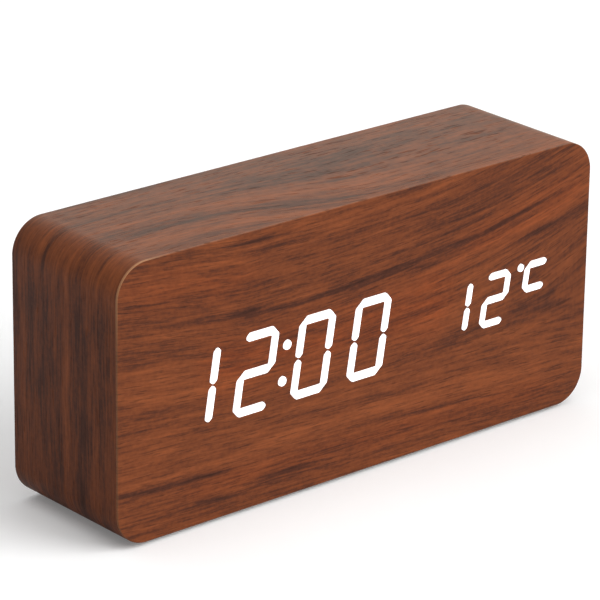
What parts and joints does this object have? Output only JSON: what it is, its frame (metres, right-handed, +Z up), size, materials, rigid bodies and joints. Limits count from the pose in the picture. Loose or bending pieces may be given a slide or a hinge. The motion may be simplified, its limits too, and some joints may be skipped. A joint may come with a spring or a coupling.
{
  "type": "alarm clock",
  "caption": "Bedside alarm clock: a wood-veneered block with glowing time and temperature figures in its face, push buttons, a power inlet and a hinged battery door behind.",
  "frame": {"origin": "on the table, under the middle of the block", "axes": "+X to the right seen from the front, -Y out of the face with the figures, +Z up"},
  "size_m": [0.15, 0.04, 0.071],
  "materials": {
    "walnut_veneer": "satin open-grained veneer",
    "fibreboard": "raw",
    "pine_block": "sawn",
    "black_screw": "blackened",
    "black_felt": "felt",
    "dark_film": "satin",
    "lit_white": "glowing white",
    "white_plastic": "matt",
    "board_green": "satin solder mask",
    "zinc_screw": "zinc plated",
    "lamp_body": "clear resin",
    "chip_black": "matt moulding",
    "plated_can": "plated",
    "black_plastic": "fine texture",
    "capacitor_sleeve": "shrink sleeve",
    "cream_plastic": "nylon",
    "ribbon_grey": "flexible",
    "button_black": "satin",
    "sensor_bead": "resin",
    "cell_label": "printed sleeve",
    "contact_steel": "nickel plated",
    "wire_red": "insulation",
    "wire_black": "insulation"
  },
  "bodies": {
    "case": {"case_ring": "fibreboard", "corner_blocks": "pine_block", "front_board": "fibreboard", "face_veneer": "walnut_veneer", "band_veneer": "walnut_veneer", "rear_panel": "fibreboard", "rear_veneer": "walnut_veneer", "panel_screws": "black_screw", "foot_pads": "black_felt", "mask_film": "dark_film", "hour_segments": "lit_white", "colon_dots": "lit_white", "minute_segments": "lit_white", "temperature_segments": "lit_white", "degree_mark": "lit_white", "reflector_block": "white_plastic", "display_pcb": "board_green", "display_screws": "zinc_screw", "segment_leds": "lamp_body", "microcontroller": "chip_black", "led_driver": "chip_black", "clock_chip": "chip_black", "crystal": "plated_can", "coin_cell_holder": "black_plastic", "coin_cell": "plated_can", "buzzer": "black_plastic", "capacitors": "capacitor_sleeve", "resistors": "chip_black", "ribbon_sockets": "cream_plastic", "ribbon_cable": "ribbon_grey", "control_plate": "black_plastic", "control_screws": "zinc_screw", "control_pcb": "board_green", "board_screws": "zinc_screw", "switch_bodies": "black_plastic", "usb_port": "plated_can", "usb_tongue": "chip_black", "microphone": "plated_can", "thermistor": "sensor_bead", "battery_box": "black_plastic", "box_screws": "zinc_screw", "cell_top": "cell_label", "cell_middle": "cell_label", "cell_bottom": "cell_label", "cell_springs": "contact_steel", "cell_contacts": "contact_steel", "red_wire": "wire_red", "black_wire": "wire_black"},
    "set_button_body": {"set_button": "button_black", "set_plunger": "cream_plastic"},
    "up_button_body": {"up_button": "button_black", "up_plunger": "cream_plastic"},
    "down_button_body": {"down_button": "button_black", "down_plunger": "cream_plastic"},
    "battery_door_body": {"battery_door": "black_plastic"}
  },
  "joints": [
    {"name": "set_press", "type": "slide", "parent": "case", "child": "set_button_body", "axis": [0, -1, 0], "range_m": [0, 0.0005], "stiffness_N_per_m": 3000, "springref_m": -0.0001},
    {"name": "up_press", "type": "slide", "parent": "case", "child": "up_button_body", "axis": [0, -1, 0], "range_m": [0, 0.0005], "stiffness_N_per_m": 3000, "springref_m": -0.0001},
    {"name": "down_press", "type": "slide", "parent": "case", "child": "down_button_body", "axis": [0, -1, 0], "range_m": [0, 0.0005], "stiffness_N_per_m": 3000, "springref_m": -0.0001},
    {"name": "battery_door_swing", "type": "hinge", "parent": "case", "child": "battery_door_body", "pos_m": [0.0499, 0.019, 0.036], "axis": [0, 0, -1], "range_deg": [0, 90]}
  ]
}
